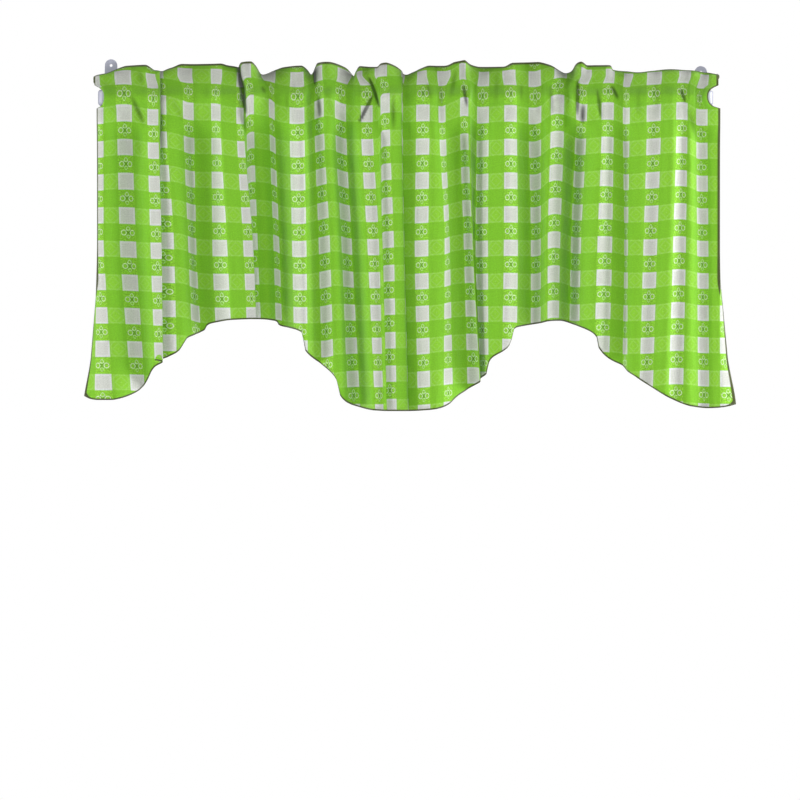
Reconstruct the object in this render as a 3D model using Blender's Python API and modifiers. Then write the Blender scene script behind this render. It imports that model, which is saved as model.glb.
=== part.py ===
"""Rod-pocket window valance, gathered on a curtain rod with two wall brackets.

The wall is the plane y = 0 and the object hangs in front of it, towards -Y.
The origin is on the wall, midway between the rod's ends, level with the middle of the
pocket. The rod lies a little higher, because the cloth hangs with its upper seam on it.
"""
import math

import bmesh
import bpy
import numpy as np

MM = 0.001

# Cloth, laid flat
CLOTH = 1.2 * MM             # thickness
LAYER_GAP = 2.6 * MM         # between the two layers of the heading, centre to centre
HEADING = 40.0 * MM          # frill above the pocket
SEAM = 18.0 * MM             # height of each pocket seam above and below its middle

# Rod and brackets
ROD_Y = -60.0 * MM           # rod's centre line in front of the wall
ROD_Z = 2.5 * MM             # and above the middle of the pocket
ROD_END = 466.0 * MM         # centre line of each return, from the middle
ROD_TALL = 24.0 * MM
ROD_DEEP = 8.0 * MM
ROD_WALL = 1.0 * MM
ROD_BEND = 6.0 * MM          # centre line radius where the rod turns to the wall
ROD_BACK = -10.0 * MM        # free end of each return
SLIDE_GAP = 0.3 * MM         # between the two halves of the rod
SLEEVE_STOP = 120.0 * MM     # open end of the outer half
INNER_STOP = -160.0 * MM     # hidden end of the inner half
POCKET_FRONT = -68.5 * MM    # front of the pocket where it lies nearest the rod
POCKET_BACK = -51.7 * MM     # back of the pocket, behind the rod

PLATE_THICK = 1.5 * MM
PLATE_WIDE = 27.0 * MM
SHOULDER = 28.0 * MM         # where the plate begins to narrow, above and below its arm
NECK = 40.0 * MM             # where it has narrowed to a tab
TAB_WIDE = 19.0 * MM
LONG_TAB = 60.2 * MM         # tip of the long tab, from the arm's centre line
SHORT_TAB = 51.0 * MM
NAIL_HOLE = 4.4 * MM
ARM_THICK = 1.2 * MM
ARM_TALL = 18.6 * MM
ARM_FRONT = -45.0 * MM
SHOULDER_STEP = (1.0 * MM, 6.0 * MM)    # in from the plate's side, and up from the shoulder
NECK_STEP = (0.5 * MM, 2.0 * MM)        # out from the tab's side, and down from the neck
LEFT_LIFT = 1.3 * MM         # the left plate sits higher, since its arm carries the larger half

# Each row is a turn of the folds: its place on the flat cloth in checks of 25.4 mm, its
# distance from the middle in mm at the heading, the rod, half way down and low down, and
# how far forward it stands in mm at the pocket and in the body.
FOLDS = (
    # flat, heading, rod, half, low, at top, forward
    (-0.85, -472.0, -458.6, -467.0, -481.5, -28.0, -19.0),    # left edge, turned back
    (0.0, -474.5, -459.4, -471.0, -474.0, -8.0, -8.0),
    (1.0, -467.0, -459.2, -460.8, -450.0, 4.0, 3.0),
    (2.7, -426.0, -424.2, -418.5, -407.3, -8.0, -22.0),
    (4.0, -396.5, -394.0, -389.5, -383.0, 0.0, 1.0),
    (5.0, -382.0, -377.5, -373.0, -371.0, 6.0, 5.0),        # front edge of the first pleat
    (5.7, -376.5, -375.0, -382.0, -384.0, 2.0, 0.0),
    (6.35, -375.0, -373.6, -374.0, -372.0, -7.0, -5.0),
    (7.1, -368.5, -363.0, -350.0, -345.5, -2.0, 4.0),
    (8.0, -348.5, -340.0, -333.0, -326.0, -6.0, -10.0),
    (9.0, -325.6, -323.4, -320.5, -311.0, -14.0, -31.0),
    (10.0, -297.5, -297.0, -295.5, -288.0, -6.0, -19.0),
    (11.2, -276.0, -278.5, -267.0, -258.6, 6.0, 8.0),
    (12.1, -257.2, -257.0, -246.5, -238.5, 4.0, 3.0),
    (13.0, -254.0, -248.0, -233.8, -226.0, -18.0, 1.0),      # front edge of the second
    (13.85, -252.0, -244.5, -244.0, -238.0, -6.0, -8.0),
    (14.7, -241.0, -235.5, -232.5, -225.0, 10.0, -20.0),
    (15.4, -229.0, -225.0, -215.5, -209.0, 2.0, -18.0),
    (16.0, -221.5, -209.0, -203.0, -198.0, -20.0, -28.0),     # notch in the heading
    (17.0, -198.5, -200.0, -193.5, -187.5, -20.0, -34.0),
    (18.7, -161.5, -160.0, -157.5, -155.5, 8.0, 13.0),
    (19.9, -142.0, -141.0, -135.0, -131.0, -24.0, -10.0),     # notch
    (21.3, -122.0, -120.0, -110.0, -104.5, 10.0, 6.0),
    (22.9, -84.0, -93.0, -84.0, -75.0, -26.0, -25.0),         # notch
    (24.0, -75.0, -69.0, -58.8, -50.5, -4.0, 9.0),
    (24.8, -69.0, -54.0, -43.5, -38.5, -8.0, 6.0),
    (25.5, -57.0, -43.0, -36.0, -31.5, -10.0, 10.0),          # front edge of the centre pleat
    (25.85, -50.0, -40.0, -38.5, -35.0, -4.0, 7.0),
    (26.2, -44.0, -36.0, -33.5, -30.5, 2.0, 3.5),
    (27.0, -28.5, -24.4, -18.0, -15.0, 10.0, 9.0),
    (28.1, -6.5, -6.5, -3.2, 1.2, -14.0, -2.0),
    (28.6, -4.5, -6.0, -8.0, -3.8, -23.0, -9.0),              # notch
    (29.2, 1.0, -3.5, -4.0, 0.5, -21.0, -11.0),
    (30.0, 17.5, 15.7, 13.6, 17.0, -4.0, -2.0),
    (31.3, 36.5, 41.5, 41.5, 43.0, 7.0, 14.0),
    (32.0, 47.5, 49.5, 58.5, 57.5, 0.0, 8.0),
    (33.0, 68.5, 60.5, 66.5, 70.5, 3.0, -4.0),
    (34.0, 81.5, 82.4, 88.4, 93.0, 6.0, -20.0),
    (35.1, 92.0, 96.5, 102.3, 111.5, 8.0, -2.0),              # front edge of the right pleat
    (35.5, 100.0, 101.0, 101.0, 110.5, -6.0, -11.0),
    (36.0, 111.0, 108.5, 106.5, 113.0, -10.0, -21.0),
    (37.0, 127.5, 127.0, 126.0, 126.5, -3.0, 4.0),
    (38.2, 151.0, 154.0, 153.5, 150.5, 8.0, 13.0),
    (40.1, 189.0, 189.0, 192.5, 192.5, -14.0, -22.0),
    (41.0, 206.0, 206.8, 206.5, 206.0, -6.0, -4.0),
    (42.0, 226.0, 220.5, 216.0, 215.5, 4.0, 8.0),
    (43.0, 246.5, 241.5, 235.5, 232.5, -26.0, -14.0),           # notch
    (44.0, 267.0, 259.5, 252.8, 249.5, 4.0, -38.0),
    (45.0, 283.5, 276.5, 268.0, 264.5, 5.0, -3.0),
    (46.0, 304.5, 298.0, 291.5, 286.5, 2.0, 14.0),
    (47.0, 318.5, 317.0, 315.0, 310.5, -5.0, -7.0),
    (48.0, 333.0, 331.0, 333.5, 331.0, -8.0, -9.0),
    (49.0, 347.0, 341.5, 339.0, 338.0, 4.0, 5.0),
    (49.7, 361.0, 359.5, 355.0, 350.5, 7.0, 13.0),
    (50.6, 381.0, 380.0, 374.5, 369.5, -3.0, 6.0),
    (51.7, 409.4, 405.3, 399.9, 394.3, 6.0, 15.0),
    (52.6, 428.8, 422.7, 419.2, 415.0, 0.0, 4.0),
    (53.2, 438.0, 432.5, 431.0, 428.5, 4.0, 7.0),
    (54.5, 455.5, 447.0, 452.0, 454.5, -8.0, -9.0),
    (55.3, 467.0, 454.0, 468.0, 468.0, 1.0, -3.0),
    (56.0, 476.0, 459.4, 478.5, 479.0, -4.0, -4.0),
    (56.85, 473.0, 458.6, 474.5, 491.5, -26.0, -15.0),        # right edge, turned back
)
VALLEY = -20.0               # forward value which lies on the line of the valleys

# Height of the heading's top, in mm above the middle of the pocket, by place on the flat cloth
TOPS = (
    (-0.85, 25.0), (0.0, 28.0), (0.2, 31.5), (1.5, 39.0), (2.7, 52.0), (3.9, 53.0), (4.9, 45.0),
    (6.8, 44.0),
    (8.3, 54.5), (10.8, 54.5), (12.4, 49.5), (13.0, 54.5), (15.0, 57.0), (15.4, 51.0),
    (16.15, 37.0), (16.8, 45.0), (18.8, 51.5), (19.7, 37.5), (20.4, 56.0), (21.5, 56.5),
    (22.4, 50.5), (23.3, 32.5), (24.7, 51.5), (26.2, 50.0), (26.9, 55.5), (28.0, 45.5),
    (29.2, 37.0), (30.2, 47.0), (31.3, 51.5), (32.5, 51.5), (33.4, 56.5), (34.9, 58.5),
    (36.1, 50.5), (38.1, 50.0), (38.8, 55.5), (40.7, 57.0), (41.7, 52.5), (42.9, 41.0),
    (43.7, 55.0), (44.6, 52.0), (46.5, 52.5), (47.0, 45.5), (49.4, 41.0), (51.4, 46.5),
    (54.7, 41.5), (56.0, 35.0), (56.85, 30.0),
)

# Heights, in mm from the middle of the pocket, at which the widths of a fold are given; the
# width at the rod holds all through the pocket
WIDTHS_AT = (35.0, 14.0, -14.0, -222.0, -398.0)
SIDE_CHECKS = 1.6            # the strip at each side that turns back beyond the pocket's end
MOUTH = 17.0                 # half height in mm of the pocket's oval mouth, in front of the rod
SIDE_START = 14.0            # and of its opening behind the rod
SIDE_EASE = 8.0              # height in mm over which that opening closes

STRIP_CHECKS = 0.85          # the strip at each side that swings out again near the hem
FLARE = 6.0                  # how far it does so, in mm
FLARE_FROM = 390.0           # depth below the pocket's middle at which that begins
FLARE_OVER = 75.0            # and the height over which it grows

# How the folds grow below the pocket: height, line of the valleys and share of the depth
GROWTH = (
    (-18.0, -60.5, 0.24),
    (-26.0, -58.5, 0.50),
    (-42.0, -54.0, 0.82),
    (-66.0, -48.0, 0.98),
    (-110.0, -44.0, 1.0),
    (-500.0, -42.0, 1.0),
)
UPPER_SHARE = 0.08           # share of the depth at the upper seam
SWELL = 0.9                  # and added at the top of the heading
POCKET_SWELL = 0.7           # share at the front of the pocket
SETTLE = 50.0                # height in mm over which the folds of the body take over

# The scalloped hem: flat place in checks, drop below the middle of the pocket in mm
HEM = (
    (-0.85, 453.0), (0.2, 459.0), (0.9, 459.0), (1.9, 452.0), (2.9, 437.0), (3.3, 425.0),
    (4.0, 408.0), (5.0, 401.0), (6.4, 396.0), (7.15, 382.0), (7.65, 364.5), (8.2, 360.0),
    (9.25, 352.5), (9.5, 344.0), (11.0, 337.0), (14.7, 335.5), (16.2, 339.0), (16.5, 344.0),
    (18.5, 355.0), (18.75, 380.0), (20.1, 406.0), (21.25, 432.0), (21.5, 454.0), (22.7, 468.5),
    (24.0, 475.0), (29.0, 476.0), (31.1, 473.8), (32.6, 465.0), (33.5, 450.0), (34.8, 433.0),
    (36.7, 420.0), (37.0, 403.0), (38.35, 380.0), (38.75, 352.0), (41.0, 341.5), (43.1, 338.0),
    (44.4, 343.5), (46.15, 364.0), (46.35, 380.0), (47.2, 399.0), (48.9, 414.0), (50.7, 437.0),
    (52.1, 456.0), (53.6, 469.0), (54.8, 471.5), (56.0, 470.0), (56.85, 465.5),
)

STATION = 0.62               # longest step of the sheet's grid, in checks
FRILL_ROWS = (0.0, 0.3, 0.62, 1.0)
CROWN_ROWS = (0.25, 0.75)
POCKET_ROWS = (1.0, 0.66, 0.0, -0.66, -1.0)
BODY_ROWS = (0.0, 0.022, 0.06, 0.12, 0.22, 0.38, 0.58, 0.8, 1.0)
BENDS = (0.12, 2.6, 60)      # least and greatest bend of the heading in radians, and steps between

# Straight steps to each round end of the rod's section, its bend, and each quarter of a tab
END_STEPS = 6
BEND_STEPS = 5
ROUND_STEPS = 8


def clear_scene():
    for thing in list(bpy.data.objects):
        bpy.data.objects.remove(thing, do_unlink=True)


def make_collection(name):
    group = bpy.data.collections.new(name)
    bpy.context.scene.collection.children.link(group)
    return group


def material(name, colour, roughness, metallic):
    mat = bpy.data.materials.new(name)
    mat.use_nodes = True
    shader = mat.node_tree.nodes["Principled BSDF"]
    shader.inputs["Base Color"].default_value = (*colour, 1.0)
    shader.inputs["Roughness"].default_value = roughness
    shader.inputs["Metallic"].default_value = metallic
    return mat


def glide(knots, values, where):
    """Smooth curve through the knots that never overshoots them; straight past the last.

    The values may be a column for each place, and then each place follows its own curve.
    """
    knots = np.asarray(knots, float)
    table = np.asarray(values, float).reshape(len(knots), -1)
    step = np.diff(knots)[:, None]
    rise = np.diff(table, axis=0) / step
    before, after = rise[:-1], rise[1:]
    steady = before * after > 0
    slope = np.zeros_like(table)
    slope[0], slope[-1] = rise[0], rise[-1]
    slope[1:-1][steady] = 2 * (before * after)[steady] / (before + after)[steady]
    column = np.arange(len(where)) if table.shape[1] > 1 else np.zeros(len(where), int)
    inside = np.clip(where, knots[0], knots[-1])
    k = np.clip(np.searchsorted(knots, inside, side="right") - 1, 0, len(step) - 1)
    width = step[k, 0]
    t = (inside - knots[k]) / width
    low, high = table[k, column], table[k + 1, column]
    start = low * (1 + 2 * t) * (1 - t) ** 2 + high * t * t * (3 - 2 * t)
    bend = slope[k, column] * t * (1 - t) ** 2 - slope[k + 1, column] * t * t * (1 - t)
    past = slope[-1][column] * np.maximum(where - knots[-1], 0)
    return start + bend * width + past


def ease(value):
    part = np.clip(value, 0, 1)
    return part * part * (3 - 2 * part)


def flat_stations():
    """Places across the flat cloth, closer together between near turns of a fold."""
    turns = [row[0] for row in FOLDS]
    places = [turns[0]]
    for left, right in zip(turns, turns[1:]):
        count = math.ceil((right - left) / STATION)
        places.extend(np.linspace(left, right, count + 1)[1:])
    return np.array(places)


def curl_for(top):
    """Bend of the heading, in radians from foot to top, which brings its top to this height."""
    share = (top * MM - SEAM - LAYER_GAP / 2) / HEADING
    bends = np.linspace(*BENDS)
    return np.interp(-share, -np.sin(bends) / bends, bends)


def hang_cloth():
    """Rows of the sheet as x, y and z in mm: up behind the rod, over the heading and down."""
    turns = [row[0] for row in FOLDS]
    places = flat_stations()
    heading, rod, half, low, at_top, forward = [
        glide(turns, [row[k] for row in FOLDS], places) for k in range(1, 7)]
    drop = glide([row[0] for row in HEM], [row[1] for row in HEM], places)
    curl = curl_for(glide([row[0] for row in TOPS], [row[1] for row in TOPS], places))
    from_side = np.minimum(places - places[0], places[-1] - places)
    side = np.clip(2 - from_side / SIDE_CHECKS, 0, 1)
    strip = np.clip(1 - from_side / STRIP_CHECKS, 0, 1) * np.sign(heading)
    reach, hanging = at_top - VALLEY, forward - VALLEY
    levels = [-level for level in WIDTHS_AT]
    seam, gap, high = SEAM / MM, LAYER_GAP / MM, HEADING / MM
    upper_y = GROWTH[0][1] - UPPER_SHARE * reach
    lower_y = GROWTH[0][1] - GROWTH[0][2] * reach
    flat = np.zeros(len(places))
    rows = []

    def spread(z, behind_rod=False):
        across = glide(levels, [heading, rod, rod, half, low], -z)
        below = glide(levels[-2:], [half, low], -z)
        loose = np.where(z > 0, heading, below)
        from_rod = np.abs(z - ROD_Z / MM)
        if behind_rod:
            clear = ease((from_rod - SIDE_START) / SIDE_EASE)
        else:
            clear = 1 - np.sqrt(np.clip(1 - (from_rod / MOUTH) ** 2, 0, 1))
        turned = rod + (loose - rod) * clear
        flare = strip * FLARE * ease((-z - FLARE_FROM) / FLARE_OVER)
        return across + side * (turned - across) + flare

    # the heading's front layer, and behind it the second, square to its folds
    radius = high / curl
    front = []
    for part in FRILL_ROWS:
        y = upper_y - SWELL * reach * math.sin(part * math.pi / 2)
        z = seam + radius * np.sin(curl * part)
        front.append((spread(z), y + radius * (1 - np.cos(curl * part)), z))
    front = np.array(front)
    upward, along = np.gradient(front, axis=0), np.gradient(front, axis=2)
    upward /= np.linalg.norm(upward, axis=1, keepdims=True)
    back = np.cross(upward, along, axis=1)
    back /= np.linalg.norm(back, axis=1, keepdims=True)
    behind = front + gap * back

    def bulge(part):
        return 1 - abs(part) ** 3

    lower_back = np.array((spread(flat - seam), lower_y + gap, flat - seam))
    for part in reversed(POCKET_ROWS):                       # back of the pocket
        at_seam = behind[0] if part > 0 else lower_back
        z = at_seam[2] * abs(part)
        aside = (at_seam[0] - spread(at_seam[2], True)) * abs(part) ** 3
        y = at_seam[1] + bulge(part) * (POCKET_BACK / MM - at_seam[1])
        rows.append((spread(z, True) + aside, y, z))
    rows.extend(behind[1:])                                  # back of the heading
    for lean in CROWN_ROWS:                                  # top fold
        middle = front[-1] + gap / 2 * (1 + math.cos(math.pi * lean)) * back[-1]
        rows.append(middle + gap / 2 * math.sin(math.pi * lean) * upward[-1])
    rows.extend(front[:0:-1])                                # front of the heading
    pocket_y = POCKET_FRONT / MM - POCKET_SWELL * np.maximum(reach, 0)
    for part in POCKET_ROWS[:-1]:                            # front of the pocket
        at_seam = upper_y if part > 0 else lower_y
        z = flat + part * seam
        rows.append((spread(z), at_seam + bulge(part) * (pocket_y - at_seam), z))
    heights = [-row[0] for row in GROWTH]
    for part in BODY_ROWS:                                   # body, down to the hem
        z = -seam - part * (drop - seam)
        settled = ease((-z - seam) / SETTLE)
        valley = glide(heights, [row[1] for row in GROWTH], -z)
        share = glide(heights, [row[2] for row in GROWTH], -z)
        share += side * np.maximum(ease((-z - seam) / SIDE_EASE) - share, 0)
        rows.append((spread(z), valley - share * (reach + (hanging - reach) * settled), z))
    return rows


def valance_panel(group):
    sheet = np.array(hang_cloth()) * MM
    rows, columns = sheet.shape[0], sheet.shape[2]
    mesh = bpy.data.meshes.new("valance_panel")
    grid = bmesh.new()
    bmesh.ops.create_grid(grid, x_segments=columns - 1, y_segments=rows - 1, size=0.5)
    for vert in grid.verts:
        column = round((vert.co.x + 0.5) * (columns - 1))
        row = round((vert.co.y + 0.5) * (rows - 1))
        vert.co = sheet[row, :, column]
    for face in grid.faces:
        face.smooth = True
    grid.to_mesh(mesh)
    grid.free()
    panel = bpy.data.objects.new("valance_panel", mesh)
    group.objects.link(panel)
    solid = panel.modifiers.new("cloth", "SOLIDIFY")
    solid.thickness = CLOTH
    solid.offset = 0.0
    mesh.materials.append(material("green_check_cotton", (0.22, 0.52, 0.04), 0.9, 0.0))
    return panel


def flat_oval(name, tall, deep, group):
    """Closed outline of the rod's section: two straight sides and two round ends."""
    radius = deep / 2
    straight = tall / 2 - radius
    outline = []
    for side in (1, -1):
        for step in range(END_STEPS + 1):
            angle = math.pi * step / END_STEPS
            outline.append((side * radius * math.cos(angle), side * (straight + radius * math.sin(angle))))
    curve = bpy.data.curves.new(name, "CURVE")
    curve.dimensions = "2D"
    spline = curve.splines.new("POLY")
    spline.points.add(len(outline) - 1)
    for point, (x, y) in zip(spline.points, outline):
        point.co = (x, y, 0.0, 1.0)
    spline.use_cyclic_u = True
    section = bpy.data.objects.new(name, curve)
    section.hide_render = True
    section.display_type = "WIRE"
    group.objects.link(section)
    return section


def rod_half(name, side, tall, deep, stop, parts, cutters, paint):
    """Half of the rod: a return from the wall, a bend and the straight run to its free end."""
    route = [(side * ROD_END, ROD_BACK), (side * ROD_END, ROD_Y + ROD_BEND)]
    for step in range(1, BEND_STEPS + 1):
        angle = math.pi / 2 * step / BEND_STEPS
        route.append((side * (ROD_END - ROD_BEND * (1 - math.cos(angle))),
                      ROD_Y + ROD_BEND * (1 - math.sin(angle))))
    route.append((side * stop, ROD_Y))
    path = bpy.data.curves.new(name + "_path", "CURVE")
    path.dimensions = "3D"
    path.twist_mode = "Z_UP"
    spline = path.splines.new("POLY")
    spline.points.add(len(route) - 1)
    for point, (x, y) in zip(spline.points, route):
        point.co = (x, y, ROD_Z, 1.0)
    path.bevel_mode = "OBJECT"
    path.bevel_object = flat_oval(name + "_section", tall, deep, cutters)
    swept = bpy.data.objects.new(name + "_path", path)
    parts.objects.link(swept)
    bpy.context.view_layer.update()
    mesh = bpy.data.meshes.new_from_object(swept.evaluated_get(bpy.context.evaluated_depsgraph_get()))
    mesh.name = name
    bpy.data.objects.remove(swept, do_unlink=True)
    shell = bmesh.new()
    shell.from_mesh(mesh)
    bmesh.ops.remove_doubles(shell, verts=shell.verts, dist=1e-5)
    bmesh.ops.recalc_face_normals(shell, faces=shell.faces)
    for face in shell.faces:
        face.smooth = True
    shell.to_mesh(mesh)
    shell.free()
    rod = bpy.data.objects.new(name, mesh)
    parts.objects.link(rod)
    wall = rod.modifiers.new("wall", "SOLIDIFY")
    wall.thickness = ROD_WALL
    wall.offset = -1.0
    wall.use_even_offset = True
    mesh.materials.clear()
    mesh.materials.append(paint)
    return rod


def box(name, low, high, group):
    """Box between two corners, from Blender's cube."""
    bpy.ops.mesh.primitive_cube_add(size=1.0)
    cube = bpy.context.object
    cube.name = name
    cube.data.name = name
    for vert in cube.data.vertices:
        for axis in range(3):
            vert.co[axis] = low[axis] if vert.co[axis] < 0 else high[axis]
    for owner in list(cube.users_collection):
        owner.objects.unlink(cube)
    group.objects.link(cube)
    return cube


def join_cut(target, tool, operation, tools):
    for owner in list(tool.users_collection):
        owner.objects.unlink(tool)
    tools.objects.link(tool)
    tool.hide_render = True
    tool.display_type = "WIRE"
    change = target.modifiers.new(operation.lower(), "BOOLEAN")
    change.operation = operation
    change.solver = "EXACT"
    change.object = tool


def tab_edge(tip):
    """Outline of one end of the plate on its +X side, from the shoulder to the tip of the tab."""
    radius = TAB_WIDE / 2
    edge = [(PLATE_WIDE / 2, SHOULDER),
            (PLATE_WIDE / 2 - SHOULDER_STEP[0], SHOULDER + SHOULDER_STEP[1]),
            (radius + NECK_STEP[0], NECK - NECK_STEP[1])]
    for step in range(ROUND_STEPS + 1):
        angle = math.pi / 2 * step / ROUND_STEPS
        edge.append((radius * math.cos(angle), tip - radius + radius * math.sin(angle)))
    return edge


def bracket(name, side, lift, parts, cutters, paint):
    """Wall plate with a round tab at each end and an arm into the rod's return.

    One stamping serves both sides: the right one is the left one turned half round.
    """
    long_end = tab_edge(LONG_TAB)
    short_end = tab_edge(SHORT_TAB)
    outline = long_end + [(-x, z) for x, z in reversed(long_end[:-1])]
    outline += [(-x, -z) for x, z in short_end] + [(x, -z) for x, z in reversed(short_end[:-1])]
    middle = side * (ROD_END - PLATE_WIDE / 2)
    curve = bpy.data.curves.new(name, "CURVE")
    curve.dimensions = "2D"
    curve.fill_mode = "BOTH"
    curve.extrude = PLATE_THICK / 2
    spline = curve.splines.new("POLY")
    spline.points.add(len(outline) - 1)
    for point, (x, z) in zip(spline.points, outline):
        point.co = (-side * x, -side * z, 0.0, 1.0)
    spline.use_cyclic_u = True
    blank = bpy.data.objects.new(name + "_blank", curve)
    parts.objects.link(blank)
    bpy.context.view_layer.update()
    mesh = bpy.data.meshes.new_from_object(blank.evaluated_get(bpy.context.evaluated_depsgraph_get()))
    bpy.data.objects.remove(blank, do_unlink=True)
    mesh.name = name
    plate = bmesh.new()
    plate.from_mesh(mesh)
    bmesh.ops.remove_doubles(plate, verts=plate.verts, dist=1e-5)
    bmesh.ops.dissolve_limit(plate, angle_limit=0.01, verts=plate.verts, edges=plate.edges)
    for vert in plate.verts:
        across, up, out = vert.co
        vert.co = (middle + across, -out - PLATE_THICK / 2, up + lift)
    plate.to_mesh(mesh)
    plate.free()
    mesh.materials.clear()
    mesh.materials.append(paint)
    body = bpy.data.objects.new(name, mesh)
    parts.objects.link(body)

    edge = side * ROD_END
    arm = box(name + "_arm", (edge - ARM_THICK / 2, ARM_FRONT, lift - ARM_TALL / 2),
              (edge + ARM_THICK / 2, -PLATE_THICK / 2, lift + ARM_TALL / 2), cutters)
    join_cut(body, arm, "UNION", cutters)
    for tip in (LONG_TAB, -SHORT_TAB):
        centre = tip - math.copysign(TAB_WIDE / 2, tip)
        bpy.ops.mesh.primitive_cylinder_add(vertices=20, radius=NAIL_HOLE / 2, depth=4 * PLATE_THICK,
                                            location=(middle, -PLATE_THICK / 2, lift - side * centre),
                                            rotation=(math.pi / 2, 0.0, 0.0))
        hole = bpy.context.object
        hole.name = name + "_hole"
        join_cut(body, hole, "DIFFERENCE", cutters)
    return body


def build():
    clear_scene()
    parts = make_collection("window_valance")
    cutters = make_collection("cutters")
    cutters.hide_render = True
    valance_panel(parts)
    enamel = material("white_enamel", (0.80, 0.80, 0.86), 0.35, 0.0)
    rod_half("rod_sleeve", -1, ROD_TALL, ROD_DEEP, -SLEEVE_STOP, parts, cutters, enamel)
    slim = 2 * (ROD_WALL + SLIDE_GAP)
    rod_half("rod_inner", 1, ROD_TALL - slim, ROD_DEEP - slim, INNER_STOP, parts, cutters, enamel)
    bracket("bracket_left", -1, ROD_Z + LEFT_LIFT, parts, cutters, enamel)
    bracket("bracket_right", 1, ROD_Z, parts, cutters, enamel)


build()
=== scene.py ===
import math

import bmesh
import bpy
import numpy as np
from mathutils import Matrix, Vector


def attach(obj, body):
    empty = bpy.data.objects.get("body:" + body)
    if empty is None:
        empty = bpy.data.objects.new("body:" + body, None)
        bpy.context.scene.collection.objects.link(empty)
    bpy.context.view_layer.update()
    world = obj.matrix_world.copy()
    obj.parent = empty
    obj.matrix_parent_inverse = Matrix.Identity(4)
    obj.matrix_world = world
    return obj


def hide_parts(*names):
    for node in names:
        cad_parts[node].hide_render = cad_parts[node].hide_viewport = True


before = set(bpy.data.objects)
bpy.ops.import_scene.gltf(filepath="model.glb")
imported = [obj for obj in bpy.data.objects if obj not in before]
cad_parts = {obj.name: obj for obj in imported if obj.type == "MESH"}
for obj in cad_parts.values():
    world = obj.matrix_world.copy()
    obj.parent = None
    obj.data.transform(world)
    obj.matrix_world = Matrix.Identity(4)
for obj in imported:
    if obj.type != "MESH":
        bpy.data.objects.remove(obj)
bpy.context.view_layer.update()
mm = 0.001


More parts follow.
